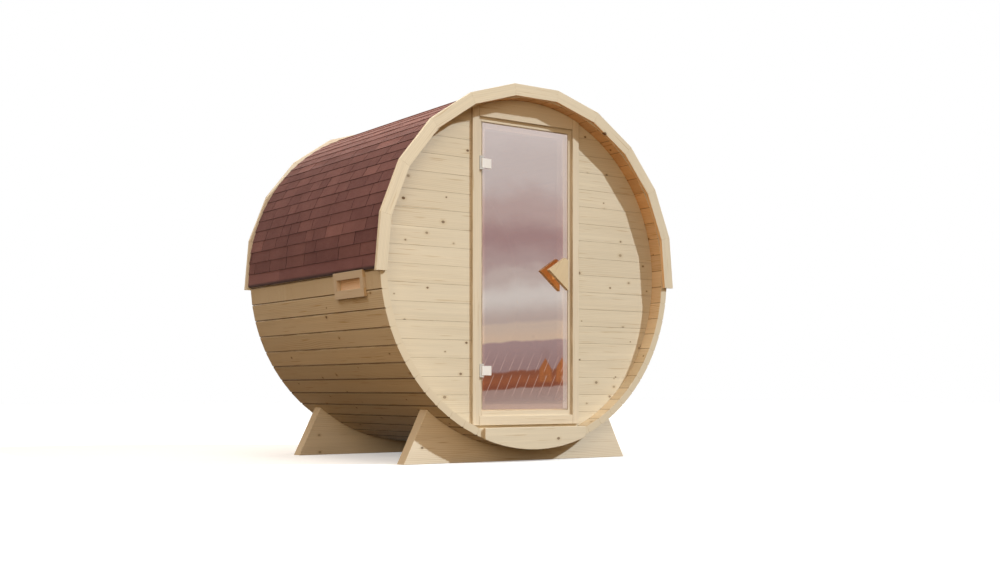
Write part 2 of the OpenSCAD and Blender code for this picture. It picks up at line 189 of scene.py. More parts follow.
def make_grain():
    """Growth rings, fibre, resin streaks, brown knots that push the rings aside, darker sawn ends, dark
    joints with painted shade, and painted warm bounce light under the roof.
    """
    group, given = new_group(
        "planed spruce",
        [("Board", "Vector"), ("Tone", "Float"), ("End", "Float"), ("Joint", "Float"), ("Painted_bounce", "Float"),
         ("Pale", "Color"), ("Late wood", "Color"), ("Knot", "Color"), ("Sawn end", "Color"),
         ("Knots", "Float"), ("Contrast", "Float"), ("Variety", "Float")],
        FINISH)
    board = given["Board"]
    along, across, deep = put(group, "ShaderNodeSeparateXYZ", (board,)).outputs

    # One knot at most in each cell of a loose grid along the board
    knot_cell, knot_stretch = 0.12, 0.72
    lengthwise = times(group, along, knot_stretch)
    lying = put(group, "ShaderNodeCombineXYZ", (lengthwise, across, 0.0)).outputs[0]
    cells = put(group, "ShaderNodeTexVoronoi", {0: lying, "Scale": 1 / knot_cell}, voronoi_dimensions="2D")
    reach = times(group, cells.outputs["Distance"], knot_cell)
    luck, girth, shade = put(group, "ShaderNodeSeparateColor", (cells.outputs["Color"],)).outputs
    has_knot = maths(group, "LESS_THAN", luck, given["Knots"])
    radius = maths(group, "MULTIPLY_ADD", girth, 0.0048, 0.0026)
    rim = maths(group, "ADD", radius, 0.0012)
    heart = times(group, soft_step(group, reach, rim, radius), has_knot)
    halo = times(group, radius, 3.4)
    halo = times(group, soft_step(group, reach, halo, radius), has_knot)

    # Growth rings: lines across the board that wander slowly along it and part round a knot
    ring_pitch = 0.0095
    wander = times(group, noise(group, board, (0.9, 3.0, 3.0)), 0.10)
    parted = maths(group, "MULTIPLY_ADD", halo, 0.008, wander)
    ring_place = maths(group, "ADD", maths(group, "MULTIPLY_ADD", deep, 0.6, across), parted)
    wave = maths(group, "SINE", times(group, ring_place, 2 * math.pi / ring_pitch))
    late = maths(group, "POWER", maths(group, "MULTIPLY_ADD", wave, 0.5, 0.5), 2.2)
    depth = noise(group, board, (1.3, 9.0, 9.0))
    late = times(group, late, soft_step(group, depth, 0.3, 0.7))
    streak = noise(group, board, (1.6, 55.0, 55.0), 3.0)
    fibre = noise(group, board, (14.0, 620.0, 620.0), 1.0)

    late_share = times(group, late, given["Contrast"])
    colour = colour_mix(group, late_share, given["Pale"], given["Late wood"])
    streaks = maths(group, "MULTIPLY_ADD", streak, 0.22, 0.89)
    varied = times(group, given["Variety"], 0.25)
    turn = maths(group, "SUBTRACT", given["Tone"], 0.5)
    tone = maths(group, "MULTIPLY_ADD", turn, varied, 1.0)
    fine = maths(group, "MULTIPLY_ADD", fibre, 0.10, 0.95)
    level = times(group, times(group, streaks, tone), fine)
    grey = put(group, "ShaderNodeCombineColor", (level, level, level)).outputs[0]
    colour = colour_mix(group, 1.0, colour, grey, "MULTIPLY")
    warm = times(group, maths(group, "FRACT", times(group, given["Tone"], 7.0)), varied)
    colour = colour_mix(group, warm, colour, given["Late wood"])
    colour = colour_mix(group, times(group, halo, 0.36), colour, given["Late wood"])
    resin = soft_step(group, noise(group, board, (4.0, 120.0, 120.0), 1.0), 0.65, 0.76)
    colour = colour_mix(group, times(group, resin, 0.75), colour, given["Late wood"])
    knot_fill = times(group, heart, maths(group, "MULTIPLY_ADD", shade, 0.5, 0.36))
    colour = colour_mix(group, knot_fill, colour, given["Knot"])
    colour = colour_mix(group, times(group, given["End"], 0.93), colour, given["Sawn end"])

    # A joint marked 1 is evenly dark, and one with a weaker mark comes and goes along the board. The marks
    # are dark joints and painted shade.
    closed = soft_step(group, noise(group, board, (5.0, 0.5, 0.5)), 0.25, 0.6)
    open_joint = maths(group, "MAXIMUM", closed, maths(group, "POWER", given["Joint"], 3.0))
    groove = maths(group, "MULTIPLY_ADD", times(group, given["Joint"], open_joint), -0.66, 1.0)
    joint_and_shade_dark = [maths(group, "POWER", groove, warmth) for warmth in (1.0, 1.15, 1.3)]
    joint_and_shade_dark = put(group, "ShaderNodeCombineColor", joint_and_shade_dark).outputs[0]
    colour = colour_mix(group, 1.0, colour, joint_and_shade_dark, "MULTIPLY")

    # Faces under the roof are painted more orange: painted warm bounce light
    bounce_warmth = [maths(group, "MULTIPLY_ADD", given["Painted_bounce"], change, 1.0) for change in (0.05, -0.24, -0.47)]
    bounce_warmth = put(group, "ShaderNodeCombineColor", bounce_warmth).outputs[0]
    colour = colour_mix(group, 1.0, colour, bounce_warmth, "MULTIPLY")

    rough = maths(group, "MULTIPLY_ADD", streak, 0.16, 0.56)
    rough = maths(group, "SUBTRACT", rough, times(group, heart, 0.12))
    height = maths(group, "MULTIPLY_ADD", fibre, 0.35, times(group, late, 0.45))
    height = maths(group, "MULTIPLY_ADD", heart, 0.5, height)
    put(group, "NodeGroupOutput", (colour, rough, height))
    return group


grain = make_grain()


def new_finish(name):
    """A material that holds only a Principled shader; returns it with its tree and the shader."""
    material = bpy.data.materials.new(name)
    material.use_nodes = True
    return material, material.node_tree, material.node_tree.nodes["Principled BSDF"]


def settle(node, values):
    """Sets inputs of a node to plain values."""
    for name, value in values.items():
        node.inputs[name].default_value = value


def carry(tree, placed, label, output="Fac"):
    """Leads an attribute of the mesh into the input of the same name of a placed group."""
    carried = put(tree, "ShaderNodeAttribute", attribute_name=label)
    tree.links.new(carried.outputs[output], placed.inputs[label.capitalize()])


def feed(tree, shader, group, relief, depth):
    """Leads a placed group's colour, roughness and height into the shader."""
    tree.links.new(group.outputs["Color"], shader.inputs["Base Color"])
    tree.links.new(group.outputs["Roughness"], shader.inputs["Roughness"])
    bump = put(tree, "ShaderNodeBump", {"Strength": relief, "Distance": depth})
    tree.links.new(group.outputs["Height"], bump.inputs["Height"])
    tree.links.new(bump.outputs[0], shader.inputs["Normal"])


def spruce(name, pale, late_wood, sawn_end, knots=0.3, contrast=0.5, variety=1.0):
    """The spruce finish in its own tones; knots is the share of 17 cm stretches that hold one."""
    material, tree, shader = new_finish(name)
    placed = put(tree, "ShaderNodeGroup", node_tree=grain)
    carry(tree, placed, "board", "Vector")
    for label in ("tone", "end", "joint", "painted_bounce"):
        carry(tree, placed, label)
    settle(placed, {"Pale": (*pale, 1), "Late wood": (*late_wood, 1), "Knot": KNOT_BROWN,
                    "Sawn end": (*sawn_end, 1), "Knots": knots, "Contrast": contrast, "Variety": variety})
    feed(tree, shader, placed, 0.35, 0.0008)
    settle(shader, {"IOR": 1.45, "Specular IOR Level": 0.08})
    return material


def pick_alone(piece):
    bpy.ops.object.select_all(action="DESELECT")
    piece.select_set(True)
    bpy.context.view_layer.objects.active = piece


def open_whole(piece):
    """Opens a piece in edit mode with all of it selected."""
    pick_alone(piece)
    bpy.ops.object.mode_set(mode="EDIT")
    bpy.ops.mesh.select_all(action="SELECT")


def block(name, low, high):
    """A box between two corners, with its place in its mesh."""
    bpy.ops.object.select_all(action="DESELECT")
    low, high = Vector(low), Vector(high)
    bpy.ops.mesh.primitive_cube_add(size=1, location=(low + high) / 2, scale=high - low)
    piece = bpy.context.object
    piece.name = name
    bpy.ops.object.transform_apply(location=True, rotation=True, scale=True)
    return piece


def fresh_copy(model):
    """A copy with its own mesh."""
    made = model.copy()
    made.data = model.data.copy()
    scene.collection.objects.link(made)
    return made


def copy_of(node, name):
    """A copy of a construction piece, welded, with its flat faces whole again."""
    piece = fresh_copy(nodes[node])
    piece.name = name
    piece.parent = None
    for key in list(piece.keys()):
        del piece[key]
    piece.data.materials.clear()
    open_whole(piece)
    bpy.ops.mesh.remove_doubles(threshold=1e-5)
    bpy.ops.mesh.dissolve_limited(angle_limit=math.radians(0.5))
    bpy.ops.object.mode_set(mode="OBJECT")
    return piece


def cut(piece, point, away, close=True):
    """Saws a piece along a plane, takes off the side that away points to, and closes the cut."""
    open_whole(piece)
    bpy.ops.mesh.bisect(plane_co=point, plane_no=away, use_fill=close, clear_outer=True)
    bpy.ops.object.mode_set(mode="OBJECT")


def shape(piece, kind, test):
    """Opens a piece in edit mode with only the edges or faces selected that pass the test."""
    pick_alone(piece)
    bpy.ops.object.mode_set(mode="EDIT")
    bpy.ops.mesh.select_mode(type=kind)
    bpy.ops.mesh.select_all(action="DESELECT")
    mesh = bmesh.from_edit_mesh(piece.data)
    for part in mesh.edges if kind == "EDGE" else mesh.faces:
        part.select_set(test(part))
    bmesh.update_edit_mesh(piece.data)


def shaped():
    bpy.ops.mesh.select_mode(type="VERT")
    bpy.ops.object.mode_set(mode="OBJECT")


def ease(piece, width, segments=2, angle=30):
    """Rounds the sharp edges of a piece by this width."""
    pick_alone(piece)
    rounding = piece.modifiers.new("eased edges", "BEVEL")
    rounding.width = width
    rounding.segments = segments
    rounding.limit_method = "ANGLE"
    rounding.angle_limit = math.radians(angle)
    bpy.ops.object.modifier_apply(modifier=rounding.name)
    return piece


def mark(piece, label, test):
    """Writes the test's answer for each face, from 0 to 1, into a face attribute."""
    marks = [float(test(face)) for face in piece.data.polygons]
    piece.data.attributes.new(label, "FLOAT", "FACE").data.foreach_set("value", marks)
    return piece


def set_tone(piece, tone):
    """Writes one tone into the whole mesh."""
    values = piece.data.attributes.new("tone", "FLOAT", "POINT").data
    values.foreach_set("value", [tone] * len(values))


def lay_grain(piece, along, across, origin=(0, 0, 0)):
    """Writes a board's own coordinates, its tone and its sawn ends into its mesh."""
    along, across, origin = Vector(along).normalized(), Vector(across).normalized(), Vector(origin)
    deep = along.cross(across)
    start = Vector(timber_yard.uniform(0, 40) for _ in range(3))
    mesh = piece.data
    places = []
    for vertex in mesh.vertices:
        place = vertex.co - origin
        places += [place.dot(along) + start.x, place.dot(across) + start.y, place.dot(deep) + start.z]
    mesh.attributes.new("board", "FLOAT_VECTOR", "POINT").data.foreach_set("vector", places)
    set_tone(piece, timber_yard.random())
    return mark(piece, "end", lambda face: abs(face.normal.dot(along)) > 0.8)


def join(name, boards):
    pick_alone(boards[0])
    for other in boards:
        other.select_set(True)
    if len(boards) > 1:
        bpy.ops.object.join()
    boards[0].name = name
    return boards[0]


def hand_over(piece, finish, slot, body, *stands_for):
    """Gives a finished piece its material, smooth curves and body, and hides the nodes it stands for."""
    pick_alone(piece)
    piece.data.materials.clear()
    piece.data.materials.append(finish)
    bpy.ops.object.shade_smooth_by_angle(angle=math.radians(32))
    flat = piece.modifiers.new("flat faces", "WEIGHTED_NORMAL")
    flat.keep_sharp = True
    bpy.ops.object.modifier_apply(modifier=flat.name)
    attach(piece, body)
    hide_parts(*stands_for)
    return piece


# ---------------------------------------------------------------- staves
# Sixty-two spruce boards, 42 mm thick and sawn to a taper, lie side by side round the
# barrel. Their long edges are bevelled, so that each joint shows as a dark groove. The
# bevel that looks down, and both bevels under the barrel, carry painted shade.

STAVES = 62
STAVE_T = 0.042
GROOVE, INNER_GROOVE = 0.005, 0.0016
JOINT, INNER_JOINT = 0.0004, 0.00006
# The sides and inner bevels are dark joints; the downward bevel's darkness is painted shade
SIDE_DARK, INNER_DARK, DOWNWARD_SHADE = 0.3, 0.9, 1.0
barrel_r = 1.0
wall_low, wall_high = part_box("rear_wall")
axis_h = (wall_low.z + wall_high.z) / 2
end_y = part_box("front_fascia")[1].y
pitch = 2 * math.pi / STAVES

stave_wood = spruce("stave spruce", (0.70, 0.58, 0.41), (0.48, 0.31, 0.15), (0.74, 0.65, 0.50),
                    knots=0.36, contrast=0.55, variety=0.7)


def is_long(edge, axis):
    """True if an edge runs along this axis (0 is X)."""
    run = edge.verts[1].co - edge.verts[0].co
    return abs(run[axis]) > 0.99 * run.length


def first_stave():
    """The board at the top of the barrel, before it is turned to its place."""
    half = (barrel_r - GROOVE) * math.tan(pitch / 2) - JOINT / 2
    board = block("stave", (-half, end_y, barrel_r - STAVE_T), (half, -end_y, barrel_r))
    shape(board, "FACE", lambda face: face.normal.z < -0.9)
    inner = ((barrel_r - STAVE_T) * math.tan(pitch / 2) - INNER_JOINT / 2) / half
    bpy.ops.transform.resize(value=(inner, 1, 1), center_override=(0, 0, barrel_r))
    shaped()
    for side_r, groove in ((barrel_r, GROOVE), (barrel_r - STAVE_T, INNER_GROOVE)):
        shape(board, "EDGE", lambda edge: is_long(edge, 1) and abs(edge.verts[0].co.z - side_r) < 0.001)
        bpy.ops.mesh.bevel(offset=groove, segments=1)
        shaped()
    return ease(board, 0.0007)


def darken_joints(board, angle):
    """Marks the bevels dark: as painted shade the one that looks down and both of them under the barrel,
    and the inner ones.
    """
    downward = 1 if angle < math.pi else -1
    # How much both bevels of a board under the barrel are darkened as painted shade
    underside_shade = min(1.0, max(0.0, -1.6 * math.cos(angle)))

    def darkness(face):
        if abs(face.normal.y) > 0.3:
            return 0.0
        if abs(face.normal.x) > 0.98:
            return SIDE_DARK
        if face.normal.z < -0.1:
            return INNER_DARK * (abs(face.normal.x) > 0.3)
        return DOWNWARD_SHADE if downward * face.normal.x > 0.3 else underside_shade * (abs(face.normal.x) > 0.3)

    mark(board, "joint", darkness)


model_stave = first_stave()
vent_low, vent_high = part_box("vent_panel")
vent_middle = (vent_low + vent_high) / 2
vent_stave = int((math.atan2(vent_middle.x, vent_middle.z - axis_h) % (2 * math.pi)) / pitch)
HOLE_UP, HOLE_DOWN, HOLE_PLAY = 0.023, 0.033, 0.0005
vent_y = (vent_low.y - HOLE_PLAY, vent_high.y + HOLE_PLAY)
groups = ["roof_right", "shoulder_right", "side_right", "belly_right",
          "belly_left", "side_left", "shoulder_left", "roof_left"]
for group, place in enumerate(groups):
    boards = []
    for index in range(round(group * STAVES / 8), round((group + 1) * STAVES / 8)):
        board = fresh_copy(model_stave)
        lay_grain(board, (0, 1, 0), (1, 0, 0))
        angle = (index + 0.5) * pitch
        darken_joints(board, angle)
        # Inner faces under the roof are marked for painted warm bounce light
        under_roof = max(0.0, min(1.0, 0.5 + math.cos(angle)))
        mark(board, "painted_bounce", lambda face: under_roof * (face.normal.z < -0.5))
        if index == vent_stave:
            hole = block("vent hole", (-HOLE_DOWN, vent_y[0], barrel_r - 0.1),
                         (HOLE_UP, vent_y[1], barrel_r + 0.1))
            pick_alone(board)
            opening = board.modifiers.new("vent hole", "BOOLEAN")
            opening.object = hole
            opening.solver = "EXACT"
            bpy.ops.object.modifier_apply(modifier=opening.name)
            bpy.data.objects.remove(hole)
        board.data.transform(Matrix.Translation((0, 0, axis_h)) @ Matrix.Rotation(angle, 4, "Y"))
        boards.append(board)
    staves = join("spruce_staves_" + place, boards)
    hand_over(staves, stave_wood, "stave_wood", "barrel", "staves_" + place).visible_glossy = False
bpy.data.objects.remove(model_stave)


# ---------------------------------------------------------------- end walls
# Level tongue-and-groove boards, 42 mm thick and 100 mm to the joint, are sawn to the
# barrel's round and stop at the door frame. The rear end is the same with no opening.

WALL_BOARD = 0.1
WALL_GROOVE, WALL_GROOVE_DARK = 0.0013, 0.45
BOARD_GAP, FRAME_GAP = 0.0001, 0.0003
BEYOND = 2.0
wall_r = (wall_high.x - wall_low.x) / 2
front = (-wall_high.y, -wall_low.y)
frame_low, frame_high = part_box("frame_left")
frame_x = -frame_low.x

wall_wood = spruce("wall spruce", (0.75, 0.67, 0.53), (0.58, 0.45, 0.28), (0.66, 0.53, 0.36),
                   knots=0.40, contrast=0.30, variety=0.12)


def wall_board(row, outer_y, inner_y, left_x, right_x, low, high):
    """One board of an end wall: a slice of the wall's disc, with the grooves on its outer side."""
    foot = max(row * WALL_BOARD + BOARD_GAP, low)
    top = min((row + 1) * WALL_BOARD - BOARD_GAP, high)
    bpy.ops.object.select_all(action="DESELECT")
    bpy.ops.mesh.primitive_circle_add(vertices=240, radius=wall_r, fill_type="NGON",
                                      location=(0, outer_y, axis_h), rotation=(math.pi / 2, 0, 0))
    board = bpy.context.object
    bpy.ops.object.transform_apply(location=True, rotation=True, scale=True)
    for point, away in (((0, 0, axis_h + foot), (0, 0, -1)), ((0, 0, axis_h + top), (0, 0, 1)),
                        ((left_x, 0, 0), (-1, 0, 0)), ((right_x, 0, 0), (1, 0, 0))):
        cut(board, point, away, close=False)
    if len(board.data.polygons) == 0:
        bpy.data.objects.remove(board)
        return None
    open_whole(board)
    bpy.ops.mesh.extrude_region_move(TRANSFORM_OT_translate={"value": (0, inner_y - outer_y, 0)})
    bpy.ops.mesh.select_all(action="SELECT")
    bpy.ops.mesh.normals_make_consistent(inside=False)
    shaped()
    joints = {round(axis_h + foot, 4), round(axis_h + top, 4)}
    shape(board, "EDGE", lambda edge: is_long(edge, 0) and abs(edge.verts[0].co.y - outer_y) < 1e-4
          and round(edge.verts[0].co.z, 4) in joints)
    bpy.ops.mesh.bevel(offset=WALL_GROOVE, segments=2)
    shaped()
    lay_grain(board, (1, 0, 0), (0, 0, 1), (0, 0, axis_h + foot))
    return mark(board, "joint", lambda face: WALL_GROOVE_DARK * (0.2 < abs(face.normal.z) < 0.98))


def wall(name, node, outer_y, inner_y, left_x=-BEYOND, right_x=BEYOND, low=-BEYOND, high=BEYOND):
    rows = range(math.floor(max(low, -wall_r) / WALL_BOARD), math.ceil(min(high, wall_r) / WALL_BOARD))
    boards = [wall_board(row, outer_y, inner_y, left_x, right_x, low, high) for row in rows]
    return hand_over(join(name, [b for b in boards if b]), wall_wood, "wall_wood", "barrel", node)


wall("front_boards_left", "front_wall_left", *front, right_x=-frame_x - FRAME_GAP)
wall("front_boards_right", "front_wall_right", *front, left_x=frame_x + FRAME_GAP)
wall("front_boards_over_door", "front_wall_over_door", *front, -frame_x, frame_x,
     low=frame_high.z - axis_h + FRAME_GAP)
wall("front_boards_under_door", "front_wall_under_door", *front, -frame_x, frame_x,
     high=frame_low.z - axis_h - FRAME_GAP)
wall("rear_boards", "rear_wall", wall_high.y, wall_low.y)


# ---------------------------------------------------------------- fascia arches
# Eleven short boards, mitred end to end and nailed to the stave ends, trim each end of
# the roof. The last board on each side is sawn off level at its foot.

ARCH_BOARDS = 11
ARCH_STEP = math.radians(16.93)
ARCH_W = 0.066
BLANK = 0.35
MITRE = 0.00025
arch_low, arch_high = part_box("front_fascia")
arch_outer = arch_high.z - axis_h
last = (ARCH_BOARDS - 1) // 2

fascia_wood = spruce("fascia spruce", (0.775, 0.69, 0.545), (0.60, 0.47, 0.30), (0.64, 0.50, 0.32),
                     knots=0.05, contrast=0.28, variety=0.15)


def arch_board(step, outer_y, inner_y):
    """One board, made at the top of the arch, mitred, eased and then turned to its place."""
    board = block("arch board", (-BLANK, min(outer_y, inner_y), arch_outer - ARCH_W),
                  (BLANK, max(outer_y, inner_y), arch_outer))
    turn = Matrix.Rotation(step * ARCH_STEP, 4, "Y")
    level = turn.inverted() @ Vector((0, 0, -1))
    foot = turn.inverted() @ Vector((0, 0, arch_low.z - axis_h))
    ease(board, 0.0016)
    for side in (-1, 1):
        if side * step == last:
            cut(board, foot, level)
        else:
            half = side * ARCH_STEP / 2
            cut(board, (-side * MITRE, 0, 0), (side * math.cos(half), 0, -side * math.sin(half)))
    lay_grain(board, (1, 0, 0), (0, 0, 1))
    # The undersides are marked for painted warm bounce light
    mark(board, "painted_bounce", lambda face: face.normal.z < -0.5)
    board.data.transform(Matrix.Translation((0, 0, axis_h)) @ turn)
    return board


for name, node, outer_y, inner_y in (("front_arch", "front_fascia", arch_low.y, arch_high.y),
                                     ("rear_arch", "rear_fascia", -arch_low.y, -arch_high.y)):
    boards = [arch_board(step, outer_y, inner_y) for step in range(-last, last + 1)]
    hand_over(join(name, boards), fascia_wood, "fascia_wood", "barrel", node).visible_glossy = False


# ---------------------------------------------------------------- cradles
# Two spruce planks on edge, hollowed to the barrel's round, carry it clear of the
# ground. The barrel rests in them, and their edges are lightly eased.

# The cradles are painted paler than the other spruce, as painted light against the barrel's shade on them
cradle_wood = spruce("cradle spruce", (0.90, 0.80, 0.645), (0.62, 0.48, 0.31), (0.72, 0.59, 0.42),
                     knots=0.26, contrast=0.55, variety=0.2)

for name, node in (("front_cradle", "cradle_front"), ("rear_cradle", "cradle_rear")):
    cradle = ease(copy_of(node, name), 0.003)
    lay_grain(cradle, (1, 0, 0), (0, 0, 1))
    hand_over(cradle, cradle_wood, "cradle_wood", "barrel", node)


# ---------------------------------------------------------------- shingles
# Bitumen shingles lie over a felt underlay in lapped courses from each eave up over the
# top. Each tab is a thin slab whose lower edge stands proud of the course below.

COURSE, LAP = 0.067, 1.25
TAB_T, TAB_SEAT, TAB_LIFT, TAB_GAP = 0.0042, 0.0037, 0.0040, 0.0018
SHORTEST_TAB, LONGEST_TAB = 0.10, 0.27
TAB_SAG = 0.0004
PALE_SHARE, PALE_TONE = 0.14, 0.45
PAINTED_SHEEN_RED, BITUMEN_AND_SHADE_DARK = (0.345, 0.163, 0.14, 1), (0.022, 0.010, 0.008, 1)
SHEEN_FROM, SHEEN_FULL = 1.68, 2.04
FELT_T = 0.004
STRIP_SHOWN = 0.078
eave_low, eave_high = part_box("eave_strip_right")
roof_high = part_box("roofing_top")[1].z - axis_h
underlay_r = roof_high - 2 * TAB_T
eave_r = eave_high.x
EAVE_FOOT = math.radians(92.5)
EAVE_HEAD = EAVE_FOOT - STRIP_SHOWN / barrel_r
RUN_GAP = 0.001
roofer = random.Random(17)


def make_granules():
    """Crushed red slate on bitumen, deeper or paler on each tab, with a painted sheen on the flatter top
    and painted shade above a foot.
    """
    group, given = new_group(
        "mineral granules",
        [("Tone", "Float"), ("Edge", "Float"), ("Foot", "Float"), ("Deep", "Color"), ("Dusty", "Color")],
        FINISH)
    where = put(group, "ShaderNodeTexCoord").outputs["Object"]
    grit = put(group, "ShaderNodeTexVoronoi", {0: where, "Scale": 520.0})
    speck = put(group, "ShaderNodeSeparateColor", (grit.outputs["Color"],)).outputs[0]
    patch = noise(group, where, (5.0, 5.0, 5.0), 4.0)
    smear = noise(group, where, (40.0, 26.0, 40.0), 3.0)
    level = maths(group, "MULTIPLY_ADD", patch, 0.6, -0.25)
    for part, share in ((given["Tone"], 0.52), (smear, 0.2), (speck, 0.25)):
        level = maths(group, "MULTIPLY_ADD", part, share, level)
    level = put(group, "ShaderNodeClamp", (level,)).outputs[0]
    colour = colour_mix(group, level, given["Deep"], given["Dusty"])
    up = put(group, "ShaderNodeSeparateXYZ", (where,)).outputs[2]
    # The flatter top is painted paler as painted sheen, and the dark edges fade there
    painted_sheen = soft_step(group, up, SHEEN_FROM, SHEEN_FULL)
    colour = colour_mix(group, times(group, painted_sheen, 0.75), colour, PAINTED_SHEEN_RED)
    bitumen_and_shade = times(group, given["Edge"], maths(group, "SUBTRACT", 1.0, painted_sheen))
    # A band just above the foot is darkened as painted shade
    painted_foot_shade = soft_step(group, maths(group, "SUBTRACT", up, given["Foot"]), 0.024, 0.008)
    bitumen_and_shade = maths(group, "MAXIMUM", bitumen_and_shade, times(group, painted_foot_shade, 0.85))
    colour = colour_mix(group, bitumen_and_shade, colour, BITUMEN_AND_SHADE_DARK)
    rough = maths(group, "MULTIPLY_ADD", speck, 0.12, 0.82)
    height = maths(group, "SUBTRACT", 1.0, grit.outputs["Distance"])
    put(group, "NodeGroupOutput", (colour, rough, height))
    return group


granules = make_granules()


def bitumen(name, deep, dusty, foot=-1.0):
    """The granule finish; foot is the height of a lower edge above which a band is darkened as painted
    shade.
    """
    material, tree, shader = new_finish(name)
    placed = put(tree, "ShaderNodeGroup", node_tree=granules)
    carry(tree, placed, "tone")
    carry(tree, placed, "edge")
    settle(placed, {"Foot": foot, "Deep": (*deep, 1), "Dusty": (*dusty, 1)})
    feed(tree, shader, placed, 0.5, 0.0012)
    settle(shader, {"Specular IOR Level": 0.25, "Sheen Weight": 0.15, "Sheen Roughness": 0.35,
                    "Sheen Tint": (1.0, 0.84, 0.78, 1)})
    return material


shingle_red = bitumen("red slate shingle", (0.066, 0.017, 0.017), (0.225, 0.095, 0.083))


def model_slab(height, thick, lip=0.0008):
    """A slab one metre long at the top of the barrel, its foot towards the right and eased by lip."""
    slab = block("shingle slab", (0, -0.5, 0), (height, 0.5, thick))
    shape(slab, "FACE", lambda face: face.normal.x < -0.9)
    bpy.ops.transform.resize(value=(1, 1, 0.4), center_override=(0, 0, 0))
    shaped()
    shape(slab, "EDGE", lambda edge: is_long(edge, 1) and all(
        v.co.z > 0.9 * thick and v.co.x > 0.9 * height for v in edge.verts))
    bpy.ops.mesh.bevel(offset=lip, segments=4)
    shaped()
    # The foot and sides are marked as dark bitumen edges, graded round the lip; on the eave strip's wide
    # lip the mark is partly painted shade
    return mark(slab, "edge", lambda face: max(face.normal.x, abs(face.normal.y)))


def lay_slab(model, angle, radius, lift, y_from, y_to, side, tone):
    """A copy whose foot lies at this angle from the top, its head tucked down under the next course."""
    slab = fresh_copy(model)
    height = max(v.co.x for v in slab.data.vertices)
    tilt = Matrix.Rotation(-lift / height, 4, "Y")
    fit = Matrix.Diagonal((1, y_to - y_from, 1, 1))
    place = Matrix.Translation((-height, (y_from + y_to) / 2, radius))
    turn = Matrix.Rotation(angle, 4, "Y")
    slab.data.transform(turn @ place @ tilt @ fit)
    if side < 0:
        slab.data.transform(Matrix.Diagonal((-1, 1, 1, 1)))
        slab.data.flip_normals()
    slab.data.transform(Matrix.Translation((0, 0, axis_h)))
    set_tone(slab, tone)
    return slab


def tab_joints():
    """Places along the barrel where one course's tabs meet."""
    joints = [end_y + RUN_GAP]
    while joints[-1] < -end_y - LONGEST_TAB:
        joints.append(joints[-1] + roofer.uniform(SHORTEST_TAB, LONGEST_TAB))
    return joints + [-end_y - RUN_GAP]


def underlay(from_angle, to_angle):
    """The felt under the shingles: a strip drawn along the barrel and spun round it."""
    bpy.ops.object.select_all(action="DESELECT")
    bpy.ops.mesh.primitive_plane_add(size=1, rotation=(0, math.pi / 2, 0))
    felt = bpy.context.object
    bpy.ops.object.transform_apply(location=True, rotation=True, scale=True)
    strip = Matrix.Diagonal((1, -2 * (end_y + RUN_GAP), FELT_T, 1))
    out = Matrix.Translation((0, 0, underlay_r - FELT_T / 2))
    turn = Matrix.Rotation(from_angle, 4, "Y")
    felt.data.transform(Matrix.Translation((0, 0, axis_h)) @ turn @ out @ strip)
    open_whole(felt)
    bpy.ops.mesh.spin(steps=32, angle=to_angle - from_angle, center=(0, 0, axis_h), axis=(0, -1, 0))
    bpy.ops.mesh.select_all(action="SELECT")
    bpy.ops.mesh.remove_doubles(threshold=1e-5)
    bpy.ops.mesh.normals_make_consistent(inside=False)
    bpy.ops.object.mode_set(mode="OBJECT")
    set_tone(felt, 0.0)
    return mark(felt, "edge", lambda face: 0.8)


tab_model = model_slab(COURSE * LAP, TAB_T)
courses = round(EAVE_HEAD * roof_high / COURSE)
course_turn = EAVE_HEAD / courses
third = EAVE_HEAD / 3
slabs = {"left": [], "top": [], "right": []}
for side in (-1, 1):
    for course in range(courses):
        foot = EAVE_HEAD - course * course_turn
        part = "top" if foot < third + 0.01 else ("left" if side < 0 else "right")
        joints = tab_joints()
        for near, far in zip(joints, joints[1:]):
            tone = roofer.uniform(0.0, 0.5) + PALE_TONE * (roofer.random() < PALE_SHARE)
            sag = roofer.uniform(-TAB_SAG, TAB_SAG)
            slabs[part].append(lay_slab(tab_model, foot, underlay_r + TAB_SEAT + sag, TAB_LIFT,
                                        near + TAB_GAP, far - TAB_GAP, side, tone))
bpy.data.objects.remove(tab_model)

for part, start, end in (("left", -EAVE_HEAD, -third), ("top", -third, third), ("right", third, EAVE_HEAD)):
    slabs[part].append(underlay(start, end))
    roof = join("shingles_" + part, slabs[part])
    hand_over(roof, shingle_red, "shingles", "barrel", "roofing_" + part)


# ---------------------------------------------------------------- eave strips
# A double starter strip, folded a little outwards, closes each eave and throws the rain
# clear of the staves. On the left it is trimmed round the top of the vent frame.

STRIP_W, STRIP_T, STRIP_LIP = 0.080, 0.0155, 0.012
STRIP_LIFT, STRIP_GAP = 0.0012, 0.0003
TRIM = math.radians(0.36)
strip_r = eave_r - STRIP_T - 0.0002
vent_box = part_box("vent_frame")

# The starter strip's foot is darkened as painted shade
eave_red = bitumen("starter strip", (0.118, 0.041, 0.041), (0.245, 0.108, 0.10), eave_low.z)
strip_model = model_slab(STRIP_W, STRIP_T, STRIP_LIP)
strip_joints = {"left": (vent_box[0].y - 0.001, vent_box[1].y + 0.001, 0.36), "right": (-0.22, 0.36)}
for side, part in ((-1, "left"), (1, "right")):
    strips = []
    joints = [end_y + RUN_GAP, *strip_joints[part], -end_y - RUN_GAP]
    for index, (near, far) in enumerate(zip(joints, joints[1:])):
        foot = EAVE_FOOT - TRIM if part == "left" and index == 1 else EAVE_FOOT
        strips.append(lay_slab(strip_model, foot, strip_r, STRIP_LIFT, near + STRIP_GAP, far - STRIP_GAP,
                               side, roofer.random()))
    eave = join("starter_strip_" + part, strips)
    hand_over(eave, eave_red, "shingles", "barrel", "eave_strip_" + part)
bpy.data.objects.remove(strip_model)


# ---------------------------------------------------------------- door frame and casing
# A rebated spruce frame is let into the boards, and flat casing boards are nailed over
# the joint. The upright boards run past the head and the foot boards.

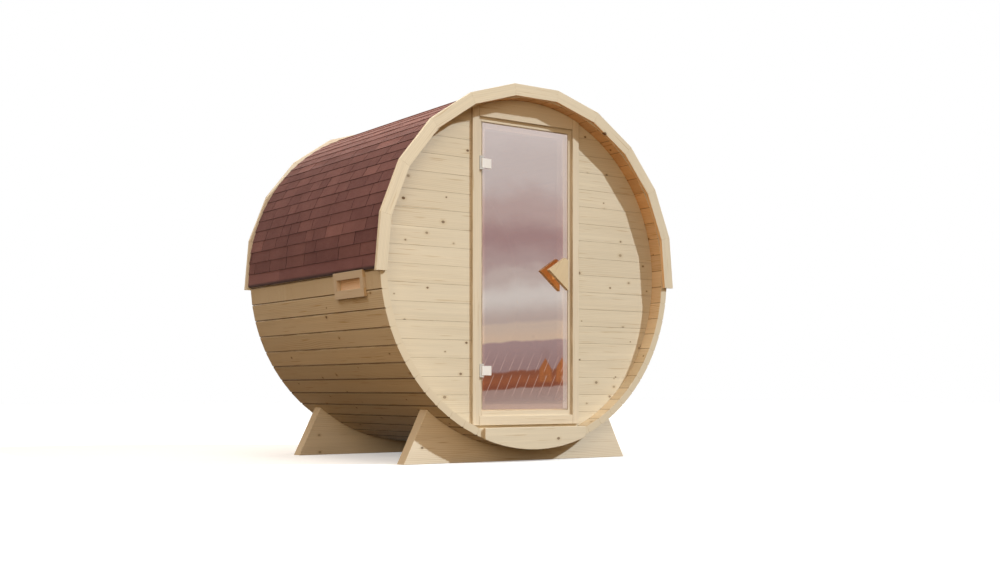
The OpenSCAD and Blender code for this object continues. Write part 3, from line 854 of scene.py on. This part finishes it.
DOORWAY_TONES = ((0.76, 0.67, 0.535), (0.60, 0.47, 0.30), (0.62, 0.48, 0.31))
UPRIGHT, LEVEL = ((0, 0, 1), (1, 0, 0)), ((1, 0, 0), (0, 0, 1))
frame_wood = spruce("frame spruce", *DOORWAY_TONES, knots=0.08, contrast=0.28, variety=0.1)
casing_wood = spruce("casing spruce", *DOORWAY_TONES, knots=0.12, contrast=0.28, variety=0.1)

for node, runs in (("frame_left", UPRIGHT), ("frame_right", UPRIGHT),
                   ("frame_head", LEVEL), ("frame_sill", LEVEL)):
    board = ease(copy_of(node, "door_" + node), 0.0015)
    lay_grain(board, *runs)
    hand_over(board, frame_wood, "frame_wood", "barrel", node)

for node, runs in (("casing_left", UPRIGHT), ("casing_right", UPRIGHT),
                   ("casing_header", LEVEL), ("casing_foot_board", LEVEL)):
    board = ease(copy_of(node, "door_" + node), 0.002)
    lay_grain(board, *runs)
    # Undersides and the faces that look left are darkened as painted shade, the foot board's underside less
    underside_shade = 0.15 if node == "casing_foot_board" else 0.5
    mark(board, "joint", lambda face: max(underside_shade * (face.normal.z < -0.9), 0.5 * (face.normal.x < -0.9)))
    hand_over(board, casing_wood, "frame_wood", "barrel", node)


# ---------------------------------------------------------------- kick board
# A spruce plank nailed to the lowest stave ends under the door, sawn to the barrel's
# round along its lower edge.

kick = ease(copy_of("kick_board", "kick_plank"), 0.0025)
lay_grain(kick, *LEVEL)
hand_over(kick, fascia_wood, "fascia_wood", "barrel", "kick_board")


# ---------------------------------------------------------------- vent
# A low spruce frame round a slot near the eave: two long rails with short stiles between
# them, nailed to the staves. A thin panel closes the slot behind it.

vent_wood = spruce("vent spruce", (0.63, 0.515, 0.385), (0.56, 0.40, 0.23), (0.58, 0.42, 0.25),
                   knots=0.0, contrast=0.3, variety=0.3)
# The panel is painted paler and more orange than the frame, as painted light from inside the cabin
panel_wood = spruce("vent panel spruce", (0.95, 0.70, 0.50), (0.80, 0.46, 0.26), (0.5, 0.3, 0.15),
                    knots=0.0, contrast=0.5)

VENT_T = 0.018
RAIL_UP, RAIL_DOWN = 0.063, 0.079
vent_turn = (vent_stave + 0.5) * pitch
back, face = barrel_r + 0.0002, barrel_r + VENT_T
rails = [block("vent rail", (low, vent_box[0].y, back), (high, vent_box[1].y, face))
         for low, high in ((HOLE_UP, RAIL_UP), (-RAIL_DOWN, -HOLE_DOWN))]
stiles = [block("vent stile", (-HOLE_DOWN, near, back), (HOLE_UP, far, face))
          for near, far in ((vent_box[0].y, vent_y[0]), (vent_y[1], vent_box[1].y))]
for board in rails + stiles:
    ease(board, 0.0012)
    lay_grain(board, *(((0, 1, 0), (1, 0, 0)) if board in rails else ((1, 0, 0), (0, 1, 0))))
# The lower rail's underside is darkened as painted shade below the frame
mark(rails[1], "joint", lambda face: face.normal.x < -0.5)
vent = join("vent_surround", rails + stiles)
vent.data.transform(Matrix.Translation((0, 0, axis_h)) @ Matrix.Rotation(vent_turn, 4, "Y"))
hand_over(vent, vent_wood, "vent_wood", "barrel", "vent_frame")

panel = ease(copy_of("vent_panel", "vent_slide"), 0.001)
lay_grain(panel, (0, 1, 0), (0, 0, 1))
hand_over(panel, panel_wood, "vent_wood", "barrel", "vent_panel")


# ---------------------------------------------------------------- floor
# Planed slats run from the door to the back with gaps between them, nailed to three
# bearers that are sawn to the staves' round.

floor_wood = spruce("floor spruce", (0.62, 0.48, 0.30), (0.46, 0.30, 0.15), (0.55, 0.40, 0.25),
                    knots=0.2, contrast=0.5)

SLAT_W, SLAT_PITCH = 0.095, 0.107
floor_low, floor_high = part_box("floor_boards")
slats = []
for index in range(round((floor_high.x - floor_low.x + SLAT_PITCH - SLAT_W) / SLAT_PITCH)):
    near_x = floor_low.x + index * SLAT_PITCH
    slat = block("slat", (near_x, *floor_low.yz), (near_x + SLAT_W, *floor_high.yz))
    slats.append(lay_grain(ease(slat, 0.003), (0, 1, 0), (1, 0, 0)))
hand_over(join("floor_slats", slats), floor_wood, "floor_wood", "barrel", "floor_boards")

bearers = ease(copy_of("floor_bearers", "slat_bearers"), 0.002)
lay_grain(bearers, *LEVEL)
hand_over(bearers, floor_wood, "floor_wood", "barrel", "floor_bearers")


# ---------------------------------------------------------------- hinges
# Two cast hinges: a bare steel leaf screwed to the frame, and a clamp in satin white
# enamel that grips the glass and turns on the leaf's pin.

ENAMEL_WHITE, ENAMEL_GREY = (0.91, 0.89, 0.88, 1), (0.85, 0.825, 0.81, 1)
STEEL_DARK, STEEL_BRIGHT = (0.50, 0.46, 0.41, 1), (0.60, 0.56, 0.50, 1)


def enamel_wear():
    """A faint orange peel, and enamel that is a little duller and greyer in patches."""
    group, _ = new_group("satin enamel", [], FINISH)
    where = put(group, "ShaderNodeTexCoord").outputs["Object"]
    peel = noise(group, where, (900.0, 900.0, 900.0))
    patch = noise(group, where, (60.0, 60.0, 60.0), 4.0)
    colour = colour_mix(group, patch, ENAMEL_WHITE, ENAMEL_GREY)
    put(group, "NodeGroupOutput", (colour, maths(group, "MULTIPLY_ADD", patch, 0.15, 0.26), peel))
    return group


def brushed_steel():
    """Fine turning marks."""
    group, _ = new_group("turned steel", [], FINISH)
    where = put(group, "ShaderNodeTexCoord").outputs["Object"]
    marks = noise(group, where, (40.0, 1500.0, 40.0))
    colour = colour_mix(group, marks, STEEL_DARK, STEEL_BRIGHT)
    put(group, "NodeGroupOutput", (colour, maths(group, "MULTIPLY_ADD", marks, 0.15, 0.25), marks))
    return group


bolt_steel, tree, shader = new_finish("turned steel")
feed(tree, shader, put(tree, "ShaderNodeGroup", node_tree=brushed_steel()), 0.1, 0.0002)
settle(shader, {"Metallic": 1.0})

white_enamel, tree, shader = new_finish("satin white enamel")
feed(tree, shader, put(tree, "ShaderNodeGroup", node_tree=enamel_wear()), 0.15, 0.0003)
settle(shader, {"Coat Weight": 0.3, "Coat Roughness": 0.2})

for level in ("upper", "lower"):
    leaf = ease(copy_of("hinge_leaf_" + level, level + "_hinge_leaf"), 0.0012, 3)
    hand_over(leaf, bolt_steel, "bolt_steel", "barrel", "hinge_leaf_" + level)
    clamp = ease(copy_of("hinge_clamp_" + level, level + "_hinge_clamp"), 0.0018, 3)
    hand_over(clamp, white_enamel, "white_metal", "door", "hinge_clamp_" + level)


# ---------------------------------------------------------------- glass door
# One sheet of 8 mm toughened glass, tinted rose bronze, with ground and polished edges.
# It has no rails of its own, and hangs from the two clamps. Its tint carries painted
# reflections: soft bands, two gables, slanting streaks and the lit jamb behind it.

pane_low, pane_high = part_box("glass_door")
pane_h = pane_high.z - pane_low.z
# Shapes and colours of the painted reflections
GABLE_X, GABLE_PITCH, GABLE_H = (0.140, 0.262), 0.8, 0.038
ROW_LEVEL, COMB = 0.128, 0.031
PAINTED_GABLE_REFLECTION, PAINTED_STREAK_REFLECTION, PAINTED_JAMB_LIGHT = (0.56, 0.19, 0.04, 1), (0.74, 0.52, 0.44, 1), (0.74, 0.62, 0.54, 1)

# Levels up the pane, from 0 to 1, and the tint at each, in bands of painted reflection; the ends come first
REFLECTION_TINTS = ((0.0, (0.46, 0.34, 0.30)), (1.0, (0.74, 0.64, 0.61)),
         (0.073, (0.42, 0.27, 0.23)), (0.080, (0.27, 0.075, 0.035)), (0.105, (0.34, 0.10, 0.04)),
         (0.133, (0.28, 0.085, 0.04)), (0.142, (0.37, 0.23, 0.22)), (0.238, (0.42, 0.28, 0.27)),
         (0.246, (0.71, 0.52, 0.39)), (0.30, (0.66, 0.51, 0.41)), (0.315, (0.56, 0.44, 0.39)),
         (0.40, (0.74, 0.66, 0.61)), (0.455, (0.60, 0.48, 0.44)), (0.50, (0.50, 0.36, 0.34)),
         (0.60, (0.43, 0.27, 0.26)), (0.72, (0.56, 0.41, 0.38)), (0.84, (0.67, 0.57, 0.54)))


def bronze_film_and_reflections():
    """The coating's tint with painted reflections: soft uneven bands, and two dark gable shapes near the
    foot.
    """
    group, _ = new_group("bronze tint and painted reflections", [], [("Color", "Color"), ("Roughness", "Float")])
    where = put(group, "ShaderNodeTexCoord").outputs["Object"]
    across, _, height = put(group, "ShaderNodeSeparateXYZ", (where,)).outputs
    level = maths(group, "DIVIDE", maths(group, "SUBTRACT", height, pane_low.z), pane_h)
    upper = soft_step(group, level, 0.25, 0.55)
    drift = noise(group, where, (1.6, 1.0, 2.4), 4.0)
    drift = times(group, maths(group, "MULTIPLY_ADD", drift, 0.26, -0.13), upper)
    ripple = maths(group, "MULTIPLY_ADD", noise(group, where, (5.0, 1.0, 1.5), 4.0), 0.03, -0.015)
    beside = [maths(group, "ABSOLUTE", maths(group, "SUBTRACT", across, ridge)) for ridge in GABLE_X]
    slope = maths(group, "MULTIPLY_ADD", maths(group, "MINIMUM", *beside), GABLE_PITCH, -GABLE_H)
    peak = times(group, maths(group, "MINIMUM", slope, 0.0), soft_step(group, level, 0.09, 0.12))
    peak = times(group, peak, soft_step(group, level, 0.24, 0.20))
    tilt = maths(group, "MULTIPLY_ADD", across, -0.045, level)
    rise = maths(group, "ADD", maths(group, "ADD", tilt, drift), maths(group, "ADD", ripple, peak))
    reflection_bands = put(group, "ShaderNodeValToRGB", (rise,))
    ramp = reflection_bands.color_ramp
    ramp.interpolation = "EASE"
    for stop, tint in zip(ramp.elements, REFLECTION_TINTS[:2]):
        stop.position, stop.color = tint[0], (*tint[1], 1)
    for place, colour in REFLECTION_TINTS[2:]:
        ramp.elements.new(place).color = (*colour, 1)
    gable_reflection = times(group, soft_step(group, slope, 0.004, -0.012), soft_step(group, rise, 0.143, 0.133))
    gable_reflection = times(group, gable_reflection, soft_step(group, level, 0.092, 0.104))
    colour = colour_mix(group, times(group, gable_reflection, 0.42), reflection_bands.outputs[0], PAINTED_GABLE_REFLECTION)

    # Two staggered rows of slanting streaks near the foot, as painted reflection
    row = maths(group, "LESS_THAN", level, ROW_LEVEL)
    slant = maths(group, "MULTIPLY_ADD", height, -0.5, maths(group, "MULTIPLY_ADD", row, COMB, across))
    comb = soft_step(group, maths(group, "PINGPONG", slant, COMB), 0.0045, 0.0)
    from_row = maths(group, "ABSOLUTE", maths(group, "SUBTRACT", level, ROW_LEVEL))
    low_down = times(group, soft_step(group, level, 0.03, 0.07), soft_step(group, level, 0.22, 0.15))
    low_down = times(group, low_down, soft_step(group, from_row, 0.0, 0.014))
    streaks = times(group, comb, times(group, low_down, 0.55))
    colour = colour_mix(group, streaks, colour, PAINTED_STREAK_REFLECTION)

    # A paler strip where the jamb stands behind the glass, as painted light of the jamb seen through it
    jamb_light = times(group, soft_step(group, across, pane_high.x - 0.034, pane_high.x - 0.031), 0.6)
    colour = colour_mix(group, jamb_light, colour, PAINTED_JAMB_LIGHT)
    smear = noise(group, where, (7.0, 1.0, 22.0), 3.0)
    put(group, "NodeGroupOutput", (colour, maths(group, "MULTIPLY_ADD", smear, 0.05, 0.01)))
    return group


def see_through(tree, shader, shadow_tint):
    """Lets lamplight pass a glass shader, tinted, to what is behind it."""
    output = tree.nodes["Material Output"]
    passed = put(tree, "ShaderNodeBsdfTransparent", ((*shadow_tint, 1),))
    in_shadow = put(tree, "ShaderNodeLightPath").outputs["Is Shadow Ray"]
    mixed = put(tree, "ShaderNodeMixShader", (in_shadow, shader.outputs[0], passed.outputs[0]))
    tree.links.new(mixed.outputs[0], output.inputs["Surface"])


coated_glass, tree, shader = new_finish("rose bronze glass")
tint = put(tree, "ShaderNodeGroup", node_tree=bronze_film_and_reflections())
tree.links.new(tint.outputs["Color"], shader.inputs["Base Color"])
tree.links.new(tint.outputs["Roughness"], shader.inputs["Roughness"])
settle(shader, {"Metallic": 0.74, "IOR": 1.5, "Transmission Weight": 1.0})
see_through(tree, shader, (0.62, 0.5, 0.42))

plain_glass, tree, shader = new_finish("plain side of the glass")
wiped = put(tree, "ShaderNodeGroup", node_tree=tint.node_tree)
tree.links.new(wiped.outputs["Roughness"], shader.inputs["Roughness"])
settle(shader, {"Base Color": (0.92, 0.86, 0.83, 1), "IOR": 1.5, "Transmission Weight": 1.0})
see_through(tree, shader, (0.92, 0.9, 0.88))

glass_edge, tree, shader = new_finish("polished glass edge")
settle(shader, {"Base Color": (0.74, 0.66, 0.56, 1), "Roughness": 0.12, "IOR": 1.5,
                "Transmission Weight": 0.2})

pane = block("glass_pane", pane_low, pane_high)
shape(pane, "EDGE", lambda edge: True)
bpy.ops.mesh.bevel(offset=0.0012, segments=2)
shaped()
hand_over(pane, coated_glass, "door_glass", "door", "glass_door")
pane.data.materials.append(plain_glass)
pane.data.materials.append(glass_edge)
for face in pane.data.polygons:
    face.material_index = 0 if face.normal.y < -0.9 else 1 if face.normal.y > 0.9 else 2


# ---------------------------------------------------------------- handle
# Two arrow-shaped plates of oiled alder, one on each side of the glass, stand off it on
# square blocks. Two bolts draw them together. The inner plate, and the back of the
# outer one, glow faintly as painted light.

PLATE_T = 0.025
handle_wood = spruce("handle alder", (0.70, 0.58, 0.40), (0.56, 0.40, 0.22), (0.56, 0.38, 0.2),
                     knots=0.0, contrast=0.6)
inner_wood = spruce("oiled inner handle with painted glow", (0.44, 0.22, 0.085), (0.34, 0.155, 0.05), (0.5, 0.2, 0.05),
                    knots=0.0, contrast=0.5)
# The inner finish glows faintly: painted light
glowing_finish = inner_wood.node_tree.nodes["Principled BSDF"]
settle(glowing_finish, {"Emission Color": (0.9, 0.37, 0.09, 1), "Emission Strength": 0.42})
behind_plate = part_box("handle_outer")[0].y + PLATE_T + 0.001
for side, finish in (("outer", handle_wood), ("inner", inner_wood)):
    handle = ease(copy_of("handle_" + side, side + "_handle"), 0.002, 3)
    lay_grain(handle, (0.55, 0, 0.83), (0.83, 0, -0.55))
    hand_over(handle, finish, "handle_wood", "door", "handle_" + side)
    if side == "outer":
        # The outer plate's back faces and blocks take the glowing inner finish
        handle.data.materials.append(inner_wood)
        for face in handle.data.polygons:
            face.material_index = int(face.normal.y > 0.9 or face.center.y > behind_plate)

bolts = ease(copy_of("handle_bolts", "through_bolts"), 0.0008)
hand_over(bolts, bolt_steel, "bolt_steel", "door", "handle_bolts")
